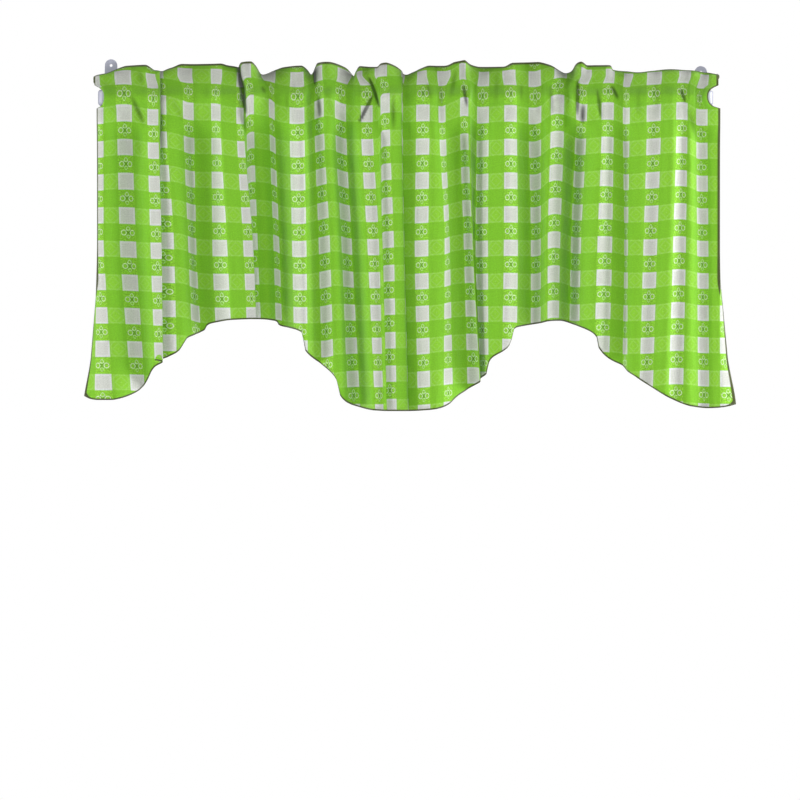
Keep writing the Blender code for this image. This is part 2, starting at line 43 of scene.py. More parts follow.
# the cloth: sizes in mm, places on the flat cloth in checks of 25.4 mm
valance = {
    "check": 25.4,
    "thickness": 1.2,
    "layerGap": 2.6,         # the heading is two layers, this far apart
    "heading": 40.0,         # length of the heading, from the upper seam to its top fold
    "bends": (0.12, 2.6, 60),    # bends tried for the heading, in radians: least, most, count
    "seam": 18.0,            # the pocket's seams lie this far above and below its middle
    "pocketFront": -68.5,    # where the front of the pocket lies, and its back
    "pocketBack": -51.7,
    "rounding": 3,           # the power of the pocket's curve: a higher one is squarer
    "clearOfRod": -66.0,     # the front of the pocket never lies further back
    "valley": -20.0,         # the forward value of a fold without depth
    "upperShare": 0.08,      # share of the depth at the upper seam
    "swell": 0.9,            # and added at the top of the heading
    "pocketSwell": 0.7,      # and at the front of the pocket
    "settle": 50.0,          # below the pocket, the folds change over to those of the body
    # flat, then distance from the middle at heading, rod, half way and low,
    # and how far it stands forward at the pocket and in the body
    "folds": (
        (-0.85, -472.0, -458.6, -467.0, -481.5, -28.0, -19.0),    # left edge, turned back
        (0.0, -474.5, -459.4, -471.0, -474.0, -8.0, -8.0),
        (1.0, -467.0, -459.2, -460.8, -450.0, 4.0, 3.0),
        (2.7, -426.0, -424.2, -418.5, -407.3, -8.0, -22.0),
        (4.0, -396.5, -394.0, -389.5, -383.0, 0.0, 1.0),
        (5.0, -382.0, -377.5, -373.0, -371.0, 6.0, 5.0),       # front edge of the first pleat
        (5.7, -376.5, -375.0, -382.0, -384.0, 2.0, 0.0),
        (6.35, -375.0, -373.6, -374.0, -372.0, -7.0, -5.0),
        (7.1, -368.5, -363.0, -350.0, -345.5, -2.0, 4.0),
        (8.0, -348.5, -340.0, -333.0, -326.0, -6.0, -10.0),
        (9.0, -325.6, -323.4, -320.5, -311.0, -14.0, -31.0),
        (10.0, -297.5, -297.0, -295.5, -288.0, -6.0, -19.0),
        (11.2, -276.0, -278.5, -267.0, -258.6, 6.0, 8.0),
        (12.1, -257.2, -257.0, -246.5, -238.5, 4.0, 3.0),
        (13.0, -254.0, -248.0, -233.8, -226.0, -18.0, 1.0),    # front edge of the second
        (13.85, -252.0, -244.5, -244.0, -238.0, -6.0, -8.0),
        (14.7, -241.0, -235.5, -232.5, -225.0, 10.0, -20.0),
        (15.4, -229.0, -225.0, -215.5, -209.0, 2.0, -18.0),
        (16.0, -221.5, -209.0, -203.0, -198.0, -20.0, -28.0),   # notch in the heading
        (17.0, -198.5, -200.0, -193.5, -187.5, -20.0, -34.0),
        (18.7, -161.5, -160.0, -157.5, -155.5, 8.0, 13.0),
        (19.9, -142.0, -141.0, -135.0, -131.0, -24.0, -10.0),   # notch
        (21.3, -122.0, -120.0, -110.0, -104.5, 10.0, 6.0),
        (22.9, -84.0, -93.0, -84.0, -75.0, -26.0, -25.0),       # notch
        (24.0, -75.0, -69.0, -58.8, -50.5, -4.0, 9.0),
        (24.8, -69.0, -54.0, -43.5, -38.5, -8.0, 6.0),
        (25.5, -57.0, -43.0, -36.0, -31.5, -10.0, 10.0),        # front edge of the centre pleat
        (25.85, -50.0, -40.0, -38.5, -35.0, -4.0, 7.0),
        (26.2, -44.0, -36.0, -33.5, -30.5, 2.0, 3.5),
        (27.0, -28.5, -24.4, -18.0, -15.0, 10.0, 9.0),
        (28.1, -6.5, -6.5, -3.2, 1.2, -14.0, -2.0),
        (28.6, -4.5, -6.0, -8.0, -3.8, -23.0, -9.0),            # notch
        (29.2, 1.0, -3.5, -4.0, 0.5, -21.0, -11.0),
        (30.0, 17.5, 15.7, 13.6, 17.0, -4.0, -2.0),
        (31.3, 36.5, 41.5, 41.5, 43.0, 7.0, 14.0),
        (32.0, 47.5, 49.5, 58.5, 57.5, 0.0, 8.0),
        (33.0, 68.5, 60.5, 66.5, 70.5, 3.0, -4.0),
        (34.0, 81.5, 82.4, 88.4, 93.0, 6.0, -20.0),
        (35.1, 92.0, 96.5, 102.3, 111.5, 8.0, -2.0),            # front edge of the right pleat
        (35.5, 100.0, 101.0, 101.0, 110.5, -6.0, -11.0),
        (36.0, 111.0, 108.5, 106.5, 113.0, -10.0, -21.0),
        (37.0, 127.5, 127.0, 126.0, 126.5, -3.0, 4.0),
        (38.2, 151.0, 154.0, 153.5, 150.5, 8.0, 13.0),
        (40.1, 189.0, 189.0, 192.5, 192.5, -14.0, -22.0),
        (41.0, 206.0, 206.8, 206.5, 206.0, -6.0, -4.0),
        (42.0, 226.0, 220.5, 216.0, 215.5, 4.0, 8.0),
        (43.0, 246.5, 241.5, 235.5, 232.5, -26.0, -14.0),         # notch
        (44.0, 267.0, 259.5, 252.8, 249.5, 4.0, -38.0),
        (45.0, 283.5, 276.5, 268.0, 264.5, 5.0, -3.0),
        (46.0, 304.5, 298.0, 291.5, 286.5, 2.0, 14.0),
        (47.0, 318.5, 317.0, 315.0, 310.5, -5.0, -7.0),
        (48.0, 333.0, 331.0, 333.5, 331.0, -8.0, -9.0),
        (49.0, 347.0, 341.5, 339.0, 338.0, 4.0, 5.0),
        (49.7, 361.0, 359.5, 355.0, 350.5, 7.0, 13.0),
        (50.6, 381.0, 380.0, 374.5, 369.5, -3.0, 6.0),
        (51.7, 409.4, 405.3, 399.9, 394.3, 6.0, 15.0),
        (52.6, 428.8, 422.7, 419.2, 415.0, 0.0, 4.0),
        (53.2, 438.0, 432.5, 431.0, 428.5, 4.0, 7.0),
        (54.5, 455.5, 447.0, 452.0, 454.5, -8.0, -9.0),
        (55.3, 467.0, 454.0, 468.0, 468.0, 1.0, -3.0),
        (56.0, 476.0, 459.4, 478.5, 479.0, -4.0, -4.0),
        (56.85, 473.0, 458.6, 474.5, 491.5, -26.0, -15.0),        # right edge, turned back
    ),
    # flat, height of the heading's top above the middle of the pocket
    "tops": (
        (-0.85, 25.0), (0.0, 28.0), (0.2, 31.5), (1.5, 39.0), (2.0, 46.0), (2.7, 52.0),
        (3.9, 53.0), (4.9, 45.0), (6.8, 44.0), (7.6, 49.0), (8.3, 54.5), (10.8, 54.5),
        (11.5, 51.5), (12.4, 49.5),
        (13.0, 54.5), (15.0, 57.0), (15.3, 53.0), (15.7, 45.0), (16.15, 37.0), (16.8, 45.0),
        (17.6, 50.5), (18.8, 51.5), (19.4, 45.0), (19.7, 37.5), (20.05, 48.0), (20.4, 56.0),
        (21.5, 56.5), (22.4, 50.5), (22.9, 41.0), (23.3, 32.5), (23.8, 43.0), (24.7, 51.5),
        (26.2, 50.0), (26.5, 54.5), (26.9, 55.5), (27.4, 52.5), (28.0, 45.5), (29.2, 37.0),
        (29.7, 42.5), (30.2, 47.0), (31.3, 51.5), (32.5, 51.5), (33.4, 56.5), (34.9, 58.5),
        (35.5, 53.0), (36.1, 50.5), (38.1, 50.0), (38.8, 55.5), (40.7, 57.0), (41.7, 52.5),
        (42.4, 45.0), (42.9, 41.0), (43.35, 45.0), (43.65, 55.0), (44.0, 57.0), (44.6, 52.0),
        (46.5, 52.5), (46.8, 46.0), (48.4, 43.5), (49.4, 41.0), (50.3, 44.0), (51.4, 46.5),
        (52.3, 45.5), (53.3, 44.5), (54.7, 41.5), (55.8, 36.5), (56.0, 35.0), (56.85, 30.0),
    ),
    # heights of a fold's four distances, where the one at the rod holds between two heights
    "widthsAt": (35.0, 14.0, -14.0, -222.0, -398.0),
    "rodHeight": 2.5,        # the rod's middle above the pocket's
    # each side edge is drawn in beside the rod: wholly over this many checks, and not at all
    # past twice as many
    "sideChecks": 1.6,
    "sideStart": 14.0,       # behind the rod, it swings out again this far above and below
    "sideEase": 8.0,         # over this height, and its folds deepen below the pocket over it too
    "mouth": 17.0,           # in front of the rod, as half an oval of this half height
    # the strip at each side that swings out again near the hem: width in checks, how far
    # out, from what depth, and over what height
    "flare": (0.85, 6.0, 390.0, 75.0),
    "softSeam": 9.0,         # how far from the seams the front is smoothed, and how often
    "softTurns": 14,
    "hemEdging": 2.3,        # width of the dark edging
    "sideEdging": 0.5,       # its share of the distance from the side, so that it is wider there
    # the painted shade line on the pressed fold where the side turns back: its share of the distance,
    # where it ends, over what length, and what is added to the distance there
    "sideFoldShade": (0.26, 330.0, 90.0, 9.0),
    "fromTop": (0.35, 0.8),  # shares of the way along the cloth, and of the height, in the painted shade line on the top fold
    "foldTurns": 6,          # how often the course of the top fold is smoothed
    # height, line of the valleys, share of the depth
    "growth": (
        (-18.0, -60.5, 0.24), (-26.0, -58.5, 0.50), (-42.0, -54.0, 0.82),
        (-66.0, -48.0, 0.98), (-110.0, -44.0, 1.0), (-500.0, -42.0, 1.0),
    ),
    # flat, drop below the middle of the pocket
    "hem": (
        (-0.85, 453.0), (-0.3, 457.5), (0.2, 459.0), (0.9, 459.0), (1.4, 456.5), (1.9, 452.0),
        (2.4, 446.0), (2.9, 437.0), (3.3, 425.0), (3.6, 415.0), (4.0, 408.0), (5.0, 401.0),
        (5.7, 398.0), (6.4, 396.0), (6.8, 390.0), (7.15, 382.0), (7.35, 374.0), (7.65, 364.5),
        (8.2, 360.0), (9.25, 352.5), (9.5, 344.0), (10.0, 340.5), (11.0, 337.0), (13.0, 335.5),
        (14.7, 335.5), (16.2, 339.0), (16.5, 344.0), (17.6, 348.5), (18.5, 355.0), (18.65, 360.0),
        (18.75, 380.0), (19.0, 388.0), (20.1, 406.0), (20.9, 420.0), (21.25, 432.0),
        (21.35, 447.0), (21.5, 454.0), (22.0, 463.0), (22.7, 468.5), (24.0, 475.0), (25.5, 475.8),
        (29.0, 476.0), (31.1, 473.8), (32.6, 465.0), (33.5, 450.0), (34.8, 433.0), (36.7, 420.0),
        (36.95, 403.0), (37.2, 396.0), (38.35, 380.0), (38.6, 370.0), (38.75, 352.0), (39.0, 348.0),
        (41.0, 341.5), (43.1, 338.0), (44.4, 343.5), (45.5, 352.0), (46.15, 364.0), (46.3, 380.0),
        (47.2, 399.0), (48.9, 414.0), (50.7, 437.0), (52.1, 456.0), (53.6, 469.0), (54.8, 471.5),
        (55.8, 471.0), (56.4, 469.0), (56.85, 465.5),
    ),
    # flat, how far the woven rows are pulled up there: near the pocket, half way and low
    "rowLift": (
        (-0.85, -1.0, 0.0, 0.0), (0.5, -1.0, 0.5, 0.0), (2.5, 3.8, -0.4, -0.8),
        (4.5, -3.0, -3.0, -3.0), (5.0, -3.0, -3.0, -3.0), (6.35, 14.5, 12.5, 9.0),
        (7.2, 13.0, 11.5, 8.5), (8.5, 6.0, 5.2, 2.3), (10.5, 4.4, 1.4, -1.6),
        (12.4, -0.8, 0.4, 0.0), (13.0, -0.8, 0.4, 0.0), (14.7, 14.3, 11.4, 4.4),
        (16.3, 9.4, 9.3, 4.7), (18.5, -1.1, -0.8, 0.8), (20.2, 8.0, 5.3, -0.6),
        (21.3, 11.0, 8.3, 3.0), (23.0, 3.8, 3.7, 5.2), (24.4, 2.0, 2.3, 4.7),
        (25.5, 4.0, 4.0, 5.0), (26.3, 15.8, 13.7, 12.8), (28.2, 17.0, 15.0, 13.0),
        (29.2, 2.0, 0.0, 3.0), (30.5, 3.4, 0.4, 4.2), (32.5, 1.1, 4.9, 8.8),
        (34.4, 11.8, 12.0, 10.5), (35.1, 10.5, 10.5, 9.0), (36.2, 0.4, 0.0, 3.8),
        (38.5, 2.6, 1.4, 2.6), (40.4, -0.5, 1.4, -2.4), (42.6, 15.3, 14.4, 6.2),
        (44.7, 3.5, 5.3, 3.7), (46.6, 6.0, 7.0, 7.5), (48.5, -0.9, 1.7, 4.0),
        (50.5, 3.2, 2.0, 5.0), (52.5, 6.0, 7.0, 9.2), (54.5, -2.9, 0.1, 5.8),
        (56.85, -3.0, 0.0, 5.0),
    ),
    "rowLiftAt": (145.0, 280.0, 440.0),
    "headingLift": 5.3,    # the rows sit higher above the pocket
    # creases: from x, height, to x, height, half width, how far forward
    "creases": (
        (-374.0, 38.0, -374.0, -80.0, 2.6, -2.0),
        (-257.0, 52.0, -244.0, -20.0, 3.5, -7.0),
        (-418.0, 4.0, -399.0, -38.0, 4.5, -4.0),
        (-357.0, 0.0, -342.0, -30.0, 6.0, -2.5),
        (-404.0, 44.0, -402.0, 23.0, 6.0, -3.0),
        (-221.0, 20.0, -214.0, 8.0, 4.0, -3.0),
        (-305.0, 20.0, -303.0, -3.0, 6.0, -2.0),
        (-181.0, 11.0, -181.0, -20.0, 4.0, -2.0),
        (-140.0, 54.0, -139.0, 22.0, 2.6, -5.0),
        (-133.0, 2.0, -131.0, -29.0, 3.2, -4.0),
        (-72.0, -36.0, -51.0, 4.0, 2.4, -5.0),
        (-56.0, 33.0, -40.0, -12.0, 2.6, -5.0),
        (-20.0, 8.0, -20.0, -50.0, 4.5, -3.5),
        (32.0, 26.0, 37.0, 0.0, 3.6, -2.5),
        (77.0, 45.0, 67.0, -3.0, 5.0, -3.0),
        (87.0, 21.0, 93.0, -12.0, 3.2, -4.0),
        (140.0, 47.0, 137.0, -14.0, 6.5, -3.2),
        (175.0, 24.0, 175.0, -6.0, 4.0, -2.0),
        (221.0, 20.0, 222.0, -26.0, 4.5, -3.0),
        (262.0, 30.0, 261.0, -24.0, 3.0, -4.5),
        (270.0, -8.0, 270.0, -38.0, 4.0, -5.0),
        (291.0, 15.0, 297.0, -30.0, 3.2, -3.5),
        (313.0, 20.0, 323.0, 0.0, 3.4, -4.0),
        (417.0, 15.0, 426.0, -6.0, 3.2, -3.5),
        (430.0, -14.0, 441.0, -57.0, 5.5, -3.0),
        (-410.0, -40.0, -404.0, -95.0, 8.0, -3.0),
        (-120.0, 20.0, -112.0, -30.0, 6.0, -2.5),
        (-170.0, 30.0, -172.0, -20.0, 5.0, -2.0),
        (52.0, 30.0, 54.0, -20.0, 6.0, -2.5),
        (200.0, 26.0, 203.0, -30.0, 6.0, -2.5),
        (355.0, 22.0, 352.0, -28.0, 6.0, -2.5),
        (382.0, 24.0, 385.0, -26.0, 5.0, -2.2),
        (401.0, 26.0, 403.0, -75.0, 9.0, 3.0),
        (343.0, -11.0, 355.0, -78.0, 7.0, 2.5),
        (240.0, 10.0, 241.0, -25.0, 7.0, 3.5),
        (-330.0, -12.0, -326.0, -60.0, 7.0, 2.0),
        (-98.0, 24.0, -96.0, -16.0, 7.0, 2.5),
        (-235.0, 10.0, -232.0, -30.0, 6.0, 2.5),
    ),
    "taper": (0.9, 0.05, 0.6),   # a crease fades at its ends along a sine: scale, start, power
    "sharpCrease": 4.5,      # a crease of this half width takes its whole painted shade, a wider one less
    "overRod": 0.6,          # share of a trough's depth where the rod lies behind it
    # gathers at the seams: flat wavelength, height, start
    "gathers": ((27.0, 0.75, 0.4), (17.3, 0.6, 2.1), (11.9, 0.45, 4.0), (8.7, 0.25, 1.2)),
    # how uneven they are: steady share, wavering share, mm to a radian of the two waves of
    # that, and the second one's start
    "gatherWaver": (0.75, 0.45, 61.0, 37.0, 1.0),
    "gatherReach": (24.0, 13.0),     # below the lower seam, above the upper one
    "gatherOnRod": (0.55, 0.45),     # share at the pocket's middle, and what its seams add
    # the grid: most checks from column to column, least steps between two turns, then rows
    "gridStep": 0.148,
    "gridLeast": 7,
    "pocketBackRows": 9,
    "headingRows": 14,
    "topFoldRows": (0.2, 0.5, 0.8),  # shares of the half turn at the top
    "pocketFrontRows": 13,
    "bodyRows": (66, 1.12),          # and the power that crowds them towards the pocket
}


def glide(knots, values, where):
    # smooth through the knots without overshooting, straight past the last one
    knots = np.asarray(knots, float)
    table = np.asarray(values, float).reshape(len(knots), -1)
    spot = np.asarray(where, float)
    flatSpot = spot.reshape(-1, table.shape[1])
    step = np.diff(knots)[:, None]
    rise = np.diff(table, axis=0) / step
    slope = np.zeros_like(table)
    slope[0], slope[-1] = rise[0], rise[-1]
    before, after = rise[:-1], rise[1:]
    steady = before * after > 0
    slope[1:-1][steady] = 2 * (before * after)[steady] / (before + after)[steady]
    inside = np.clip(flatSpot, knots[0], knots[-1])
    k = np.clip(np.searchsorted(knots, inside, side="right") - 1, 0, len(step) - 1)
    column = np.arange(table.shape[1])[None, :]
    width = step[k, 0]
    t = (inside - knots[k]) / width
    low, high = table[k, column], table[k + 1, column]
    start = low * (1 + 2 * t) * (1 - t) ** 2 + high * t * t * (3 - 2 * t)
    bend = slope[k, column] * t * (1 - t) ** 2 - slope[k + 1, column] * t * t * (1 - t)
    past = slope[-1][None, :] * np.maximum(flatSpot - knots[-1], 0)
    return (start + bend * width + past).reshape(spot.shape)


def ease(value):
    part = np.clip(value, 0, 1)
    return part * part * (3 - 2 * part)


def curlFor(top):
    # bend of the heading, in radians from foot to top, which brings its top to this height
    share = (top - valance["seam"] - valance["layerGap"] / 2) / valance["heading"]
    bends = np.linspace(*valance["bends"])
    reached = np.sin(bends) / bends
    return np.interp(-share, -reached, bends)


def flatPlaces():
    turns = [row[0] for row in valance["folds"]]
    places = [turns[0]]
    for left, right in zip(turns, turns[1:]):
        count = max(valance["gridLeast"], math.ceil((right - left) / valance["gridStep"]))
        places.extend(np.linspace(left, right, count + 1)[1:])
    return np.array(places)


def hangCloth():
    # x, y and z of the whole sheet, and the length of cloth from the top fold, in mm
    folds = np.array(valance["folds"])
    turns = folds[:, 0]
    u = flatPlaces()
    heading, rod, half, low = [glide(turns, folds[:, k], u) for k in (1, 2, 3, 4)]
    atTop, forward = glide(turns, folds[:, 5], u), glide(turns, folds[:, 6], u)
    tops = np.array(valance["tops"])
    curl = curlFor(glide(tops[:, 0], tops[:, 1], u))
    hem = np.array(valance["hem"])
    drop = glide(hem[:, 0], hem[:, 1], u)
    fromSide = np.minimum(u - u[0], u[-1] - u)
    side = np.clip(2 - fromSide / valance["sideChecks"], 0, 1)
    turnedBack, sideOut, flareFrom, flareOver = valance["flare"]
    strip = np.clip(1 - fromSide / turnedBack, 0, 1) * np.sign(heading)
    reach, hanging = atTop - valance["valley"], forward - valance["valley"]
    seam, gap, high = valance["seam"], valance["layerGap"], valance["heading"]
    growth = np.array(valance["growth"])
    levels = -np.array(valance["widthsAt"])
    upperY = growth[0, 1] - valance["upperShare"] * reach
    lowerY = growth[0, 1] - growth[0, 2] * reach
    rows = []

    def spread(z, behindRod=False):
        across = glide(levels, [heading, rod, rod, half, low], -z[None, :])[0]
        below = glide(levels[-2:], [half, low], -z[None, :])[0]
        loose = np.where(z > 0, heading, below)
        fromRod = np.abs(z - valance["rodHeight"])
        if behindRod:
            clear = ease((fromRod - valance["sideStart"]) / valance["sideEase"])
        else:
            clear = 1 - np.sqrt(np.clip(1 - (fromRod / valance["mouth"]) ** 2, 0, 1))
        turned = rod + (loose - rod) * clear
        flare = strip * sideOut * ease((-z - flareFrom) / flareOver)
        return across + side * (turned - across) + flare

    def addRow(x, y, z, length):
        rows.append((x, y, z, length + 0 * u))

    # the heading's front layer, and behind it the second, square to its folds
    radius = high / curl
    parts = np.linspace(0, 1, valance["headingRows"])
    front = []
    for part in parts:
        y = upperY - valance["swell"] * reach * np.sin(part * np.pi / 2)
        z = seam + radius * np.sin(curl * part)
        front.append((spread(z), y + radius * (1 - np.cos(curl * part)), z))
    front = np.array(front)
    upward, along = np.gradient(front, axis=0), np.gradient(front, axis=2)
    upward /= np.linalg.norm(upward, axis=1, keepdims=True)
    back = np.cross(upward, along, axis=1)
    back /= np.linalg.norm(back, axis=1, keepdims=True)
    behind = front + gap * back

    lowerSeam = np.array([spread(-seam + 0 * u), lowerY + gap, -seam + 0 * u])
    for part in np.linspace(-1, 1, valance["pocketBackRows"]):             # back of the pocket
        atSeam = behind[0] if part > 0 else lowerSeam
        towardSeam = abs(part) ** valance["rounding"]
        z = atSeam[2] * abs(part)
        aside = (atSeam[0] - spread(atSeam[2], True)) * towardSeam
        y = atSeam[1] + (1 - towardSeam) * (valance["pocketBack"] - atSeam[1])
        addRow(spread(z, True) + aside, y, z, -high - seam + part * seam)
    for k in range(1, len(parts)):                                         # back of the heading
        addRow(*behind[k], -high * (1 - parts[k]))
    for lean in valance["topFoldRows"]:
        middle = front[-1] + gap / 2 * (1 + math.cos(math.pi * lean)) * back[-1]
        addRow(*(middle + gap / 2 * math.sin(math.pi * lean) * upward[-1]), 0.0)
    for k in reversed(range(1, len(parts))):                               # front of the heading
        addRow(*front[k], high * (1 - parts[k]))
    pocketY = valance["pocketFront"] - valance["pocketSwell"] * np.maximum(reach, 0)
    for part in np.linspace(1, -1, valance["pocketFrontRows"])[:-1]:       # front of the pocket
        atSeam = upperY if part > 0 else lowerY
        z = part * seam + 0 * u
        y = atSeam + (1 - abs(part) ** valance["rounding"]) * (pocketY - atSeam)
        addRow(spread(z), y, z, high + seam - part * seam)
    bodyRows, crowding = valance["bodyRows"]
    for part in np.linspace(0, 1, bodyRows) ** crowding:                   # body, down to the hem
        z = -seam - part * (drop - seam)
        valley = glide(-growth[:, 0], growth[:, 1], -z)
        share = glide(-growth[:, 0], growth[:, 2], -z)
        share = share + side * np.maximum(ease((-z - seam) / valance["sideEase"]) - share, 0)
        mixed = reach + (hanging - reach) * ease((-z - seam) / valance["settle"])
        addRow(spread(z), valley - share * mixed, z, high + seam - z)
    x, y, z, length = [np.array([row[k] for row in rows]) for k in range(4)]
    dents, shadeInCrease = softDents(u, x, z, length)
    y = softSeams(y, z, length) + dents
    inFront = (length > high) & (np.abs(z) < seam)
    y = np.where(inFront, np.minimum(y, valance["clearOfRod"]), y)
    return (u, x, y, z, length, drop), shadeInCrease


def softSeams(y, z, length):
    # the front evened out along both seams
    fromSeam = (np.abs(z) - valance["seam"]) / valance["softSeam"]
    nearSeam = np.where(length > valance["heading"] / 2, np.exp(-fromSeam ** 2), 0)
    for turn in range(valance["softTurns"]):
        around = y.copy()
        around[1:-1] = (y[:-2] + y[2:]) / 2
        y = y + 0.5 * nearSeam * (around - y)
    return y


def softDents(u, x, z, length):
    # listed creases and the small gathers along both seams, as a move along y, and how
    # hollow each spot is
    seam = valance["seam"]
    dents = np.zeros_like(x)
    shadeInCrease = np.zeros_like(x)
    scale, begin, power = valance["taper"]
    for x0, z0, x1, z1, width, depth in valance["creases"]:
        alongX, alongZ = x1 - x0, z1 - z0
        t = ((x - x0) * alongX + (z - z0) * alongZ) / (alongX ** 2 + alongZ ** 2)
        held = np.clip(t, 0, 1)
        away = np.hypot(x - x0 - held * alongX, z - z0 - held * alongZ)
        taper = np.sin(np.pi * np.clip(t * scale + begin, 0, 1)) ** power
        move = -depth * taper * np.exp(-(away / width) ** 2)
        dents += move
        # how hollow the crease makes this spot, which sets its painted shade
        shadeInCrease = np.maximum(shadeInCrease, move * valance["sharpCrease"] / width)
    dents = np.where((dents > 0) & (np.abs(z) < seam), dents * valance["overRod"], dents)
    flat = u * valance["check"]
    ripple = sum(size * np.sin(2 * math.pi * flat / wave + start)
                 for wave, size, start in valance["gathers"])
    steady, wavering, slow, quick, start = valance["gatherWaver"]
    ripple = ripple * (steady + wavering * np.sin(flat / slow) * np.sin(flat / quick + start))
    below, above = valance["gatherReach"]
    onRod, atSeams = valance["gatherOnRod"]
    inPocket = onRod + atSeams * (z / seam) ** 2
    fade = np.where(z > seam, np.exp(-(z - seam) / above),
                    np.where(z < -seam, np.exp((z + seam) / below), inPocket))
    dents -= ripple[None, :] * fade
    inBack = length < -valance["heading"]
    dents = np.where(inBack, dents * np.abs(z / seam) ** valance["rounding"], dents)
    return dents, np.where(inBack, 0, shadeInCrease)


def wovenRows(u, length):
    # where each spot lies along the cloth's length, with the rows pulled up as they hang
    lift = np.array(valance["rowLift"])
    atRows = [glide(lift[:, 0], lift[:, k], u) for k in (1, 2, 3)]
    pulled = glide(valance["rowLiftAt"], atRows, np.clip(length, *valance["rowLiftAt"][::2]))
    inHeading = 1 - ease((length - valance["heading"]) / (2 * valance["seam"]))
    return length + pulled + valance["headingLift"] * inHeading


def cutEdges(u, length, drop):
    # how far each spot lies from an edge that has the dark edging, or from the painted shade line on
    # the side's pressed fold
    fromHem = (valance["heading"] + valance["seam"] + drop)[None, :] - length
    fromSide = np.minimum(u - u[0], u[-1] - u)[None, :] * valance["check"]
    fromBack = length - length.min()
    # painted shade line along the fold where the side strip turns back
    share, endsAt, endsOver, added = valance["sideFoldShade"]
    sideFoldShade = np.abs(fromSide - valance["flare"][0] * valance["check"])
    sideFoldShade = sideFoldShade * share + added * ease((length - endsAt) / endsOver)
    fromCut = np.minimum(fromHem, fromSide * valance["sideEdging"])
    return np.minimum(fromCut, np.minimum(fromBack, sideFoldShade))


def topFold(z, length):
    # how far each spot lies from the top fold
    highest = np.take_along_axis(length, np.argmax(z, axis=0)[None, :], axis=0)[0]
    for turn in range(valance["foldTurns"]):
        highest[1:-1] = (highest[:-2] + 2 * highest[1:-1] + highest[2:]) / 4
    alongCloth, downwards = valance["fromTop"]
    return alongCloth * np.abs(length - highest) + downwards * (z.max(axis=0)[None, :] - z)


def makeValance():
    (u, x, y, z, length, drop), shadeInCrease = hangCloth()
    woven = wovenRows(u, length)
    fromCut, fromTop = cutEdges(u, length, drop), topFold(z, length)
    rows, columns = x.shape
    mesh = bpy.data.meshes.new("valance")
    grid = bmesh.new()
    bmesh.ops.create_grid(grid, x_segments=columns - 1, y_segments=rows - 1, size=0.5)
    wovenMap = grid.loops.layers.uv.new("woven")
    edgeMap = grid.loops.layers.uv.new("edges")
    # carries how hollow each spot is, for the painted shade in the creases
    creaseShadeMap = grid.loops.layers.uv.new("creases")
    spots = {}
    for vert in grid.verts:
        column = round((vert.co.x + 0.5) * (columns - 1))
        row = round((vert.co.y + 0.5) * (rows - 1))
        spots[vert] = (row, column)
        vert.co = Vector((x[row, column], y[row, column], z[row, column])) * mm
    for face in grid.faces:
        face.smooth = True
        for loop in face.loops:
            row, column = spots[loop.vert]
            loop[wovenMap].uv = (u[column], woven[row, column] / valance["check"])
            loop[edgeMap].uv = (fromCut[row, column], fromTop[row, column])
            loop[creaseShadeMap].uv = (shadeInCrease[row, column], 0)
    grid.to_mesh(mesh)
    grid.free()
    cloth = bpy.data.objects.new("valance", mesh)
    bpy.context.scene.collection.objects.link(cloth)
    solid = cloth.modifiers.new("thickness", "SOLIDIFY")
    solid.thickness = valance["thickness"] * mm
    solid.offset = 0.0
    print("valance cloth:", columns, "x", rows)
    return cloth


def addNode(tree, kind, **settings):
    node = tree.nodes.new(kind)
    for name, value in settings.items():
        setattr(node, name, value)
    return node


def plug(tree, socket, value):
    if isinstance(value, bpy.types.NodeSocket):
        tree.links.new(value, socket)
    else:
        socket.default_value = value


def calc(tree, operation, *values):
    node = addNode(tree, "ShaderNodeMath", operation=operation)
    for socket, value in zip(node.inputs, values):
        plug(tree, socket, value)
    return node.outputs[0]


def times(tree, first, second):
    return calc(tree, "MULTIPLY", first, second)


def minus(tree, first, second):
    return calc(tree, "SUBTRACT", first, second)


def absolute(tree, value):
    return calc(tree, "ABSOLUTE", value)


def softStep(tree, value, low, high):
    # 0 up to low, 1 from high on
    node = addNode(tree, "ShaderNodeMapRange", interpolation_type="SMOOTHSTEP")
    for name, item in (("Value", value), ("From Min", low), ("From Max", high)):
        plug(tree, node.inputs[name], item)
    return node.outputs[0]


def softDrop(tree, value, low, high):
    # 1 up to low, 0 from high on
    return minus(tree, 1.0, softStep(tree, value, low, high))


def mixColour(tree, share, first, second, how="MIX"):
    node = addNode(tree, "ShaderNodeMix", data_type="RGBA", blend_type=how)
    plug(tree, node.inputs[0], share)
    plug(tree, node.inputs[6], first)
    plug(tree, node.inputs[7], second)
    return node.outputs[2]


def scaled(tree, place, factors):
    node = addNode(tree, "ShaderNodeMapping")
    node.inputs["Scale"].default_value = factors
    tree.links.new(place, node.inputs["Vector"])
    return node.outputs[0]


def addNoise(tree, place, **settings):
    node = addNode(tree, "ShaderNodeTexNoise")
    for name, value in settings.items():
        node.inputs[name].default_value = value
    tree.links.new(place, node.inputs["Vector"])
    return node.outputs["Fac"]


def addBump(tree, height, distance, strength, normal=None):
    # distance in mm
    node = addNode(tree, "ShaderNodeBump")
    node.inputs["Distance"].default_value = distance * mm
    node.inputs["Strength"].default_value = strength
    tree.links.new(height, node.inputs["Height"])
    if normal:
        tree.links.new(normal, node.inputs["Normal"])
    return node.outputs[0]


def splitMap(tree, name):
    # a UV map of the cloth, whole, across and down
    whole = addNode(tree, "ShaderNodeUVMap", uv_map=name).outputs[0]
    parts = addNode(tree, "ShaderNodeSeparateXYZ")
    tree.links.new(whole, parts.inputs[0])
    return whole, parts.outputs[0], parts.outputs[1]


def newMaterial(name):
    mat = bpy.data.materials.new(name)
    mat.use_nodes = True
    return mat, mat.node_tree, mat.node_tree.nodes["Principled BSDF"]


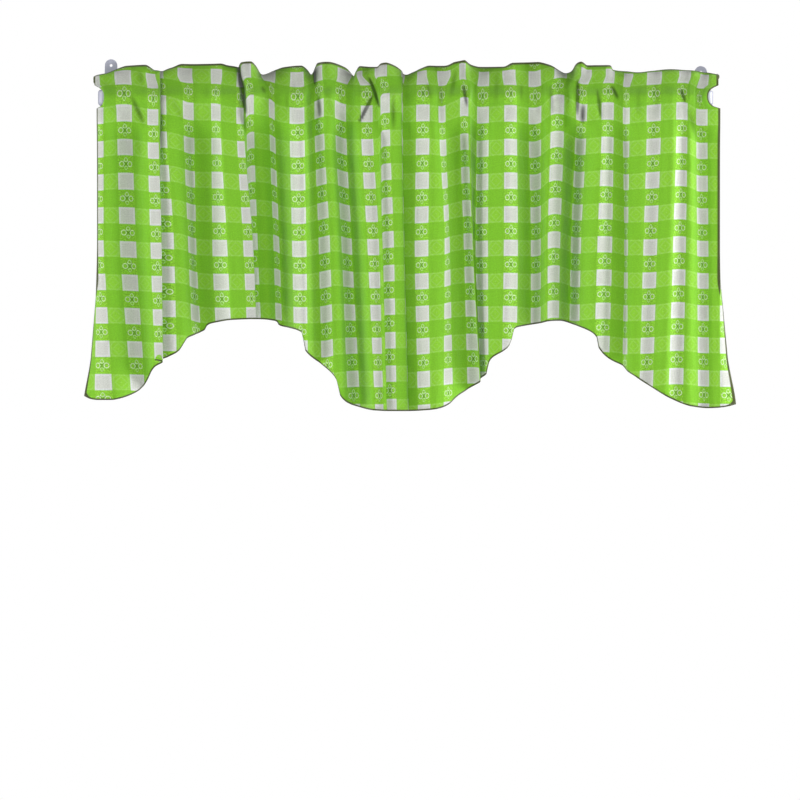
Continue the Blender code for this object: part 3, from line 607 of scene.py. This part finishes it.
def newGroup(name, inputs, outputs):
    group = bpy.data.node_groups.new(name, "ShaderNodeTree")
    for socketName, kind, value in inputs:
        socket = group.interface.new_socket(socketName, in_out="INPUT", socket_type=kind)
        if value is not None:
            socket.default_value = value
    for socketName, kind in outputs:
        group.interface.new_socket(socketName, in_out="OUTPUT", socket_type=kind)
    return group, group.nodes.new("NodeGroupInput"), group.nodes.new("NodeGroupOutput")


def useGroup(tree, group, **values):
    node = addNode(tree, "ShaderNodeGroup", node_tree=group)
    for name, value in values.items():
        plug(tree, node.inputs[name], value)
    return node


# the small flower woven into the mixed checks, in mm from its middle
flower = {
    # centre, half sizes, line, and how much narrower its top is
    "sidePetal": ((6.4, 0.0), (3.4, 3.7), 1.15, 0.0),
    "topPetal": ((0.0, 6.4), (2.4, 2.7), 1.1, 0.4),
    "lowPetal": ((0.0, -6.3), (2.1, 2.4), 0.95, -0.35),
    "topShare": 0.75,
    "lowShare": 0.55,
    "lineFade": (0.5, 1.6),    # shares of the line's half width where it begins to fade, and ends
    "heart": (1.1, 4.4),       # half width of the two crossed strokes, and their reach
    "strokeFade": (0.6, 1.4),
    "reachFade": (0.5, 0.9),
    "lineDepth": 0.8,          # how much of its colour the line takes, and the heart
    "heartDepth": 0.7,
}


def ring(tree, across, up, centre, half, line, point):
    # 1 on an oval line round centre, narrower toward its top by the share point
    overX = calc(tree, "DIVIDE", minus(tree, across, centre[0]), half[0])
    overZ = calc(tree, "DIVIDE", minus(tree, up, centre[1]), half[1])
    overX = times(tree, overX, calc(tree, "MULTIPLY_ADD", overZ, point, 1.0))
    far = calc(tree, "SQRT", calc(tree, "ADD", times(tree, overX, overX), times(tree, overZ, overZ)))
    width = line / (half[0] + half[1])
    begin, end = flower["lineFade"]
    return softDrop(tree, absolute(tree, minus(tree, far, 1.0)), width * begin, width * end)


def flowerGroup():
    group, given, out = newGroup(
        "wovenFlower",
        [("Across", "NodeSocketFloat", 0.0), ("Up", "NodeSocketFloat", 0.0)],
        [("Line", "NodeSocketFloat"), ("Heart", "NodeSocketFloat")])
    across = absolute(group, given.outputs["Across"])
    up = given.outputs["Up"]
    line = ring(group, across, up, *flower["sidePetal"])
    for part in ("top", "low"):
        petal = ring(group, across, up, *flower[part + "Petal"])
        line = calc(group, "MAXIMUM", line, times(group, petal, flower[part + "Share"]))
    wide, reach = flower["heart"]
    height = absolute(group, up)
    begin, end = flower["strokeFade"]
    stroke = softDrop(group, absolute(group, minus(group, across, height)), wide * begin, wide * end)
    begin, end = flower["reachFade"]
    near = softDrop(group, calc(group, "MAXIMUM", across, height), reach * begin, reach * end)
    group.links.new(line, out.inputs["Line"])
    group.links.new(times(group, stroke, near), out.inputs["Heart"])
    return group


weave = {
    "pitch": 0.62,           # from yarn to yarn, mm
    "slubAcross": 1.1,       # how fast the tone changes across the yarns and along them, per mm
    "slubAlong": 0.045,
    "slubDetail": 2.0,
}


def weaveGroup():
    # plain weave: height of the yarns and their uneven tone, from a place in mm
    group, given, out = newGroup(
        "plainWeave",
        [("Place", "NodeSocketVector", None), ("Pitch", "NodeSocketFloat", weave["pitch"])],
        [("Height", "NodeSocketFloat"), ("Tone", "NodeSocketFloat")])
    place = given.outputs["Place"]
    parts = addNode(group, "ShaderNodeSeparateXYZ")
    group.links.new(place, parts.inputs[0])
    waves = []
    for k in (0, 1):
        turn = calc(group, "DIVIDE", times(group, parts.outputs[k], math.pi), given.outputs["Pitch"])
        waves.append(calc(group, "SINE", turn))
    height = absolute(group, times(group, waves[0], waves[1]))
    tones = []
    for factors in ((weave["slubAcross"], weave["slubAlong"], 0.0),
                    (weave["slubAlong"], weave["slubAcross"], 0.0)):
        stretched = scaled(group, place, factors)
        tones.append(addNoise(group, stretched, Scale=1.0, Detail=weave["slubDetail"]))
    tone = times(group, calc(group, "ADD", tones[0], tones[1]), 0.5)
    group.links.new(height, out.inputs["Height"])
    group.links.new(tone, out.inputs["Tone"])
    return group


cotton = {
    "white": (0.65, 0.67, 0.615, 1.0),
    "paleWhite": (0.73, 0.74, 0.73, 1.0),
    "frame": (8.6, 10.4),    # a white check's greyer middle: where its soft edge begins and ends, mm
    "green": (0.270, 0.618, 0.038, 1.0),
    "deepGreen": (0.218, 0.562, 0.024, 1.0),
    "paleGreen": (0.62, 0.78, 0.47, 1.0),
    "line": (0.74, 0.84, 0.62, 1.0),     # of the flower, like its heart
    "heart": (0.08, 0.24, 0.02, 1.0),
    "threadAndShadeLine": (0.070, 0.085, 0.020, 1.0),    # of the edging, and of the painted shade lines on the top fold and on the side's fold
    "whiteShare": 0.487,     # of each repeat of two checks, across and down
    "softness": 0.022,       # of an edge between two checks, in checks
    "rowPhase": 0.396,       # where the rows of checks begin, in repeats
    # the faint lattice of the plain green checks, mm: half a diamond, and where its line
    # begins to fade and ends; then the paler stripe inside each side in the same way
    "diamond": (4.2, 0.6, 2.0),
    "stripe": (10.6, 0.3, 1.5),
    "latticeDepth": (0.08, 0.10),    # how pale they are
    "paintedCreaseShade": (0.3, 5.0, 0.66),  # painted shade in the creases: where it begins to darken, is darkest, and how much
    "paintedTopShade": (3.0, 85.0, 0.24),    # painted shade in the same way from the top fold down, fading over this height
    "topFoldShadeLine": (2.2, 5.0),   # where the painted shade line on the top fold begins to fade, and ends
    "edgingAndFoldShade": (0.75, 1.15),  # the same for the edging and the painted shade line on the side's fold, in shares of its width
    "slub": 0.3,             # how uneven the yarns' tone is
    "fleckScale": 0.55,      # per mm
    "fleckDetail": 1.0,
    "fleck": (0.42, 1.1),    # how mottled every check is, and how much more the flowers' ground
    "sheen": 0.25,
    "sheenRough": 0.45,
    "specular": 0.25,
    "rough": 0.86,
    "roughWaver": 0.16,
    # small wrinkles that run down the cloth: steps of noise to a check, across and down
    "wrinkleWaves": (2.0, 0.55, 1.0),
    "wrinkleDetail": 3.0,
    "wrinkleRough": 0.45,
    "wrinkleBump": (2.6, 0.75),      # mm, strength
    "yarnBump": (0.12, 0.6),
    "loops": (5.2, 1.4),     # of the edging: radians to a mm, and height beside the yarns'
}


def band(tree, place, share, soft):
    # 1 over the first share of each repeat of two checks, from a place in checks
    part = calc(tree, "FRACT", times(tree, place, 0.5))
    middle = absolute(tree, minus(tree, part, share / 2))
    around = calc(tree, "MINIMUM", middle, minus(tree, 1.0, middle))
    return softDrop(tree, around, share / 2 - soft / 2, share / 2 + soft / 2)


def inCell(tree, place, middle):
    # mm from the middle of a check, which lies at this share of each repeat
    part = calc(tree, "FRACT", times(tree, place, 0.5))
    return times(tree, minus(tree, part, middle), 2 * valance["check"])


def faintLattice(tree, across, down):
    half, begin, end = cotton["diamond"]
    diamond = calc(tree, "PINGPONG", calc(tree, "ADD", across, down), half)
    diamond = softDrop(tree, diamond, begin, end)
    out, begin, end = cotton["stripe"]
    stripe = absolute(tree, minus(tree, calc(tree, "MAXIMUM", across, down), out))
    stripe = softDrop(tree, stripe, begin, end)
    diamondDepth, stripeDepth = cotton["latticeDepth"]
    return calc(tree, "ADD", times(tree, diamond, diamondDepth), times(tree, stripe, stripeDepth))


def checkColours(tree, across, down, flowerNodes):
    # the colours of the four kinds of check, and where the flowers' ground is
    share, soft = cotton["whiteShare"], cotton["softness"]
    column = band(tree, across, share, soft)
    row = band(tree, down, share, soft)
    notColumn, notRow = minus(tree, 1.0, column), minus(tree, 1.0, row)
    inFlower = times(tree, column, notRow)
    middle, nextMiddle = share / 2, share / 2 + 0.5
    colour = mixColour(tree, times(tree, notColumn, notRow), cotton["green"], cotton["deepGreen"])

    whiteX = inCell(tree, across, middle)
    whiteZ = absolute(tree, inCell(tree, down, middle))
    framing = softStep(tree, calc(tree, "MAXIMUM", absolute(tree, whiteX), whiteZ), *cotton["frame"])
    white = mixColour(tree, framing, cotton["white"], cotton["paleWhite"])
    colour = mixColour(tree, times(tree, column, row), colour, white)

    lattice = faintLattice(tree, absolute(tree, inCell(tree, across, nextMiddle)), whiteZ)
    pale = times(tree, times(tree, notColumn, row), lattice)
    colour = mixColour(tree, pale, colour, cotton["paleGreen"])

    up = times(tree, inCell(tree, down, nextMiddle), -1.0)
    bloom = useGroup(tree, flowerNodes, Across=whiteX, Up=up)
    for part, name in (("Line", "line"), ("Heart", "heart")):
        shown = times(tree, inFlower, times(tree, bloom.outputs[part], flower[name + "Depth"]))
        colour = mixColour(tree, shown, colour, cotton[name])
    return colour, inFlower


def clothToneAndShade(tree, yarns, flat, inFlower, shadeInCrease, fromTop):
    # uneven yarns and mottling, then painted shade inside the creases and, fading downwards,
    # painted shade over the heading and the pocket
    tone = calc(tree, "MULTIPLY_ADD", yarns.outputs["Tone"], cotton["slub"], 1.0 - cotton["slub"] / 2)
    fleck = addNoise(tree, flat, Scale=cotton["fleckScale"], Detail=cotton["fleckDetail"])
    everywhere, onGround = cotton["fleck"]
    strength = calc(tree, "MULTIPLY_ADD", inFlower, onGround, everywhere)
    tone = calc(tree, "ADD", tone, times(tree, minus(tree, fleck, 0.5), strength))
    # painted shade: darker inside the creases
    begin, end, depth = cotton["paintedCreaseShade"]
    creaseShadeShare = softStep(tree, shadeInCrease, begin, end)
    tone = times(tree, tone, calc(tree, "MULTIPLY_ADD", creaseShadeShare, -depth, 1.0))
    # painted shade: darker near the top fold, fading downwards
    begin, end, depth = cotton["paintedTopShade"]
    lower = softStep(tree, fromTop, begin, end)
    tone = times(tree, tone, calc(tree, "MULTIPLY_ADD", lower, depth, 1.0 - depth))
    grey = addNode(tree, "ShaderNodeCombineColor")
    for k in range(3):
        tree.links.new(tone, grey.inputs[k])
    return grey.outputs[0]


def clothBumps(tree, woven, yarns, across, down, edgingAndFoldShade):
    # small wrinkles first, then the yarns and the edging's loops
    waves = scaled(tree, woven, cotton["wrinkleWaves"])
    wrinkles = addNoise(tree, waves, Scale=1.0, Detail=cotton["wrinkleDetail"],
                        Roughness=cotton["wrinkleRough"])
    soft = addBump(tree, wrinkles, *cotton["wrinkleBump"])
    close, high = cotton["loops"]
    slanted = calc(tree, "ADD", times(tree, across, valance["check"]),
                   times(tree, down, valance["check"]))
    loops = times(tree, calc(tree, "SINE", times(tree, slanted, close)), edgingAndFoldShade)
    height = calc(tree, "ADD", yarns.outputs["Height"], times(tree, loops, high))
    return addBump(tree, height, *cotton["yarnBump"], normal=soft)


def checkCotton(weaveNodes, flowerNodes):
    mat, tree, shader = newMaterial("checkCotton")
    woven, across, along = splitMap(tree, "woven")
    fromCut, fromTop = splitMap(tree, "edges")[1:]
    # how hollow each spot is, which sets the painted shade in the creases
    shadeInCrease = splitMap(tree, "creases")[1]
    down = minus(tree, along, 2 * cotton["rowPhase"])
    flat = scaled(tree, woven, (valance["check"], valance["check"], 1.0))
    yarns = useGroup(tree, weaveNodes, Place=flat)

    colour, inFlower = checkColours(tree, across, down, flowerNodes)
    tone = clothToneAndShade(tree, yarns, flat, inFlower, shadeInCrease, fromTop)
    colour = mixColour(tree, 1.0, colour, tone, "MULTIPLY")

    # dark overlocked edging along the cut edges, and painted shade lines in the same dark colour on
    # the top fold and on the side's pressed fold
    begin, end = [valance["hemEdging"] * share for share in cotton["edgingAndFoldShade"]]
    edgingAndFoldShade = softDrop(tree, fromCut, begin, end)
    dark = calc(tree, "MAXIMUM", edgingAndFoldShade, softDrop(tree, fromTop, *cotton["topFoldShadeLine"]))
    colour = mixColour(tree, dark, colour, cotton["threadAndShadeLine"])
    tree.links.new(colour, shader.inputs["Base Color"])

    rough = calc(tree, "MULTIPLY_ADD", yarns.outputs["Tone"], cotton["roughWaver"],
                 cotton["rough"] - cotton["roughWaver"] / 2)
    tree.links.new(rough, shader.inputs["Roughness"])
    shader.inputs["Sheen Weight"].default_value = cotton["sheen"]
    shader.inputs["Sheen Roughness"].default_value = cotton["sheenRough"]
    shader.inputs["Specular IOR Level"].default_value = cotton["specular"]
    bumps = clothBumps(tree, woven, yarns, across, down, edgingAndFoldShade)
    tree.links.new(bumps, shader.inputs["Normal"])
    print("checked cotton ready")
    return mat


# white enamel on the rod and the brackets
enamel = {
    "paint": (0.60, 0.61, 0.74, 1.0),
    "worn": (0.46, 0.47, 0.56, 1.0),
    "turned": (0.22, 0.23, 0.32, 1.0),   # painted shade where a face turns away from the viewer
    "noiseScale": 90.0,
    "noiseDetail": 4.0,
    "wornAt": (0.62, 0.80),    # values of the noise where wear begins, and is whole
    "wornDepth": 0.35,
    "rimShadeBlend": 0.4,
    "rimShadeDepth": 0.8,
    "rough": (0.28, 0.22),     # least roughness, and what the noise adds
    "coat": 0.25,
    "bump": (0.05, 0.4),       # mm, strength
}


def whiteEnamel():
    mat, tree, shader = newMaterial("whiteEnamel")
    spot = addNode(tree, "ShaderNodeTexCoord")
    noise = addNoise(tree, spot.outputs["Object"], Scale=enamel["noiseScale"],
                     Detail=enamel["noiseDetail"])
    worn = times(tree, softStep(tree, noise, *enamel["wornAt"]), enamel["wornDepth"])
    colour = mixColour(tree, worn, enamel["paint"], enamel["worn"])
    # painted shade: the enamel darker where its face turns away from the viewer
    turned = addNode(tree, "ShaderNodeLayerWeight")
    turned.inputs["Blend"].default_value = enamel["rimShadeBlend"]
    rimShadeShare = times(tree, turned.outputs["Facing"], enamel["rimShadeDepth"])
    colour = mixColour(tree, rimShadeShare, colour, enamel["turned"])
    tree.links.new(colour, shader.inputs["Base Color"])
    least, added = enamel["rough"]
    tree.links.new(calc(tree, "MULTIPLY_ADD", noise, added, least), shader.inputs["Roughness"])
    shader.inputs["Coat Weight"].default_value = enamel["coat"]
    tree.links.new(addBump(tree, noise, *enamel["bump"]), shader.inputs["Normal"])
    print("white enamel ready")
    return mat


def repaint(node, mat):
    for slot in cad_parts[node].material_slots:
        slot.material = mat


# studio: floor, soft lights and a level long-lens camera, in metres where no mm is given
studio = {
    "middle": (-9.15, -459.0),      # what the middle of the view shows, to the right and up, mm
    "plane": -65.0,                 # y of the cloth's front, mm
    "across": 1220.0,               # width of the view at that plane, mm
    "distance": 10.0,               # of the camera from that plane
    "sensor": 36.0,                 # mm
    "farthest": 60.0,
    "floor": -1.75,
    "floorSize": 7.0,
    "floorTone": (0.9, 0.9, 0.9, 1.0),
    "floorRough": 0.9,
    "world": 0.10,
    "lights": (
        # name, place, looks at, size, power in watts
        ("keyRight", (5.97, -0.31, 0.32), (0.0, -0.05, -0.2), 3.0, 335.0),
        ("nearRight", (1.6, -0.9, 0.3), (0.2, -0.05, -0.2), 0.5, 5.5),
        ("sideLeft", (-5.77, -1.55, 0.32), (0.0, -0.05, -0.2), 3.0, 208.0),
        ("softTop", (0.0, -3.0, 5.0), (0.0, -0.05, -0.2), 2.0, 66.0),
        ("front", (0.0, -4.4, -1.4), (0.0, -0.05, -0.4), 1.6, 72.0),
    ),
}


def makeFloor():
    floor = bmesh.new()
    bmesh.ops.create_grid(floor, x_segments=1, y_segments=1, size=studio["floorSize"])
    mesh = bpy.data.meshes.new("studioFloor")
    floor.to_mesh(mesh)
    floor.free()
    plane = bpy.data.objects.new("studioFloor", mesh)
    plane.location.z = studio["floor"]
    bpy.context.scene.collection.objects.link(plane)
    mat, _, shader = newMaterial("paleFloor")
    shader.inputs["Base Color"].default_value = studio["floorTone"]
    shader.inputs["Roughness"].default_value = studio["floorRough"]
    mesh.materials.append(mat)


def makeWorld():
    # white to the camera, and much dimmer as a light
    world = bpy.data.worlds.new("studio")
    bpy.context.scene.world = world
    world.use_nodes = True
    tree = world.node_tree
    sky = tree.nodes["Background"]
    sky.inputs["Color"].default_value = (1.0, 1.0, 1.0, 1.0)
    path = addNode(tree, "ShaderNodeLightPath")
    seen = calc(tree, "MULTIPLY_ADD", path.outputs["Is Camera Ray"], 1.0 - studio["world"],
                studio["world"])
    tree.links.new(seen, sky.inputs["Strength"])


def makeLights():
    for name, place, target, across, power in studio["lights"]:
        data = bpy.data.lights.new(name, "AREA")
        data.energy = power
        data.size = across
        lamp = bpy.data.objects.new(name, data)
        lamp.location = place
        lamp.rotation_euler = (Vector(target) - Vector(place)).to_track_quat("-Z", "Y").to_euler()
        bpy.context.scene.collection.objects.link(lamp)


def makeCamera():
    lens = bpy.data.cameras.new("camera")
    lens.sensor_width = studio["sensor"]
    lens.lens = studio["sensor"] * studio["distance"] / (studio["across"] * mm)
    lens.clip_end = studio["farthest"]
    camera = bpy.data.objects.new("camera", lens)
    x, z = studio["middle"]
    camera.location = (x * mm, studio["plane"] * mm - studio["distance"], z * mm)
    camera.rotation_euler = (math.pi / 2, 0.0, 0.0)
    bpy.context.scene.collection.objects.link(camera)
    bpy.context.scene.camera = camera
    bpy.context.scene.view_settings.view_transform = "Standard"


makeFloor()
makeWorld()
makeLights()
makeCamera()
print("studio ready")

cloth = makeValance()
cloth.data.materials.append(checkCotton(weaveGroup(), flowerGroup()))
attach(cloth, "root")
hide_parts("valance_panel")

paint = whiteEnamel()
for node in ("rod_sleeve", "rod_inner", "bracket_left", "bracket_right"):
    repaint(node, paint)
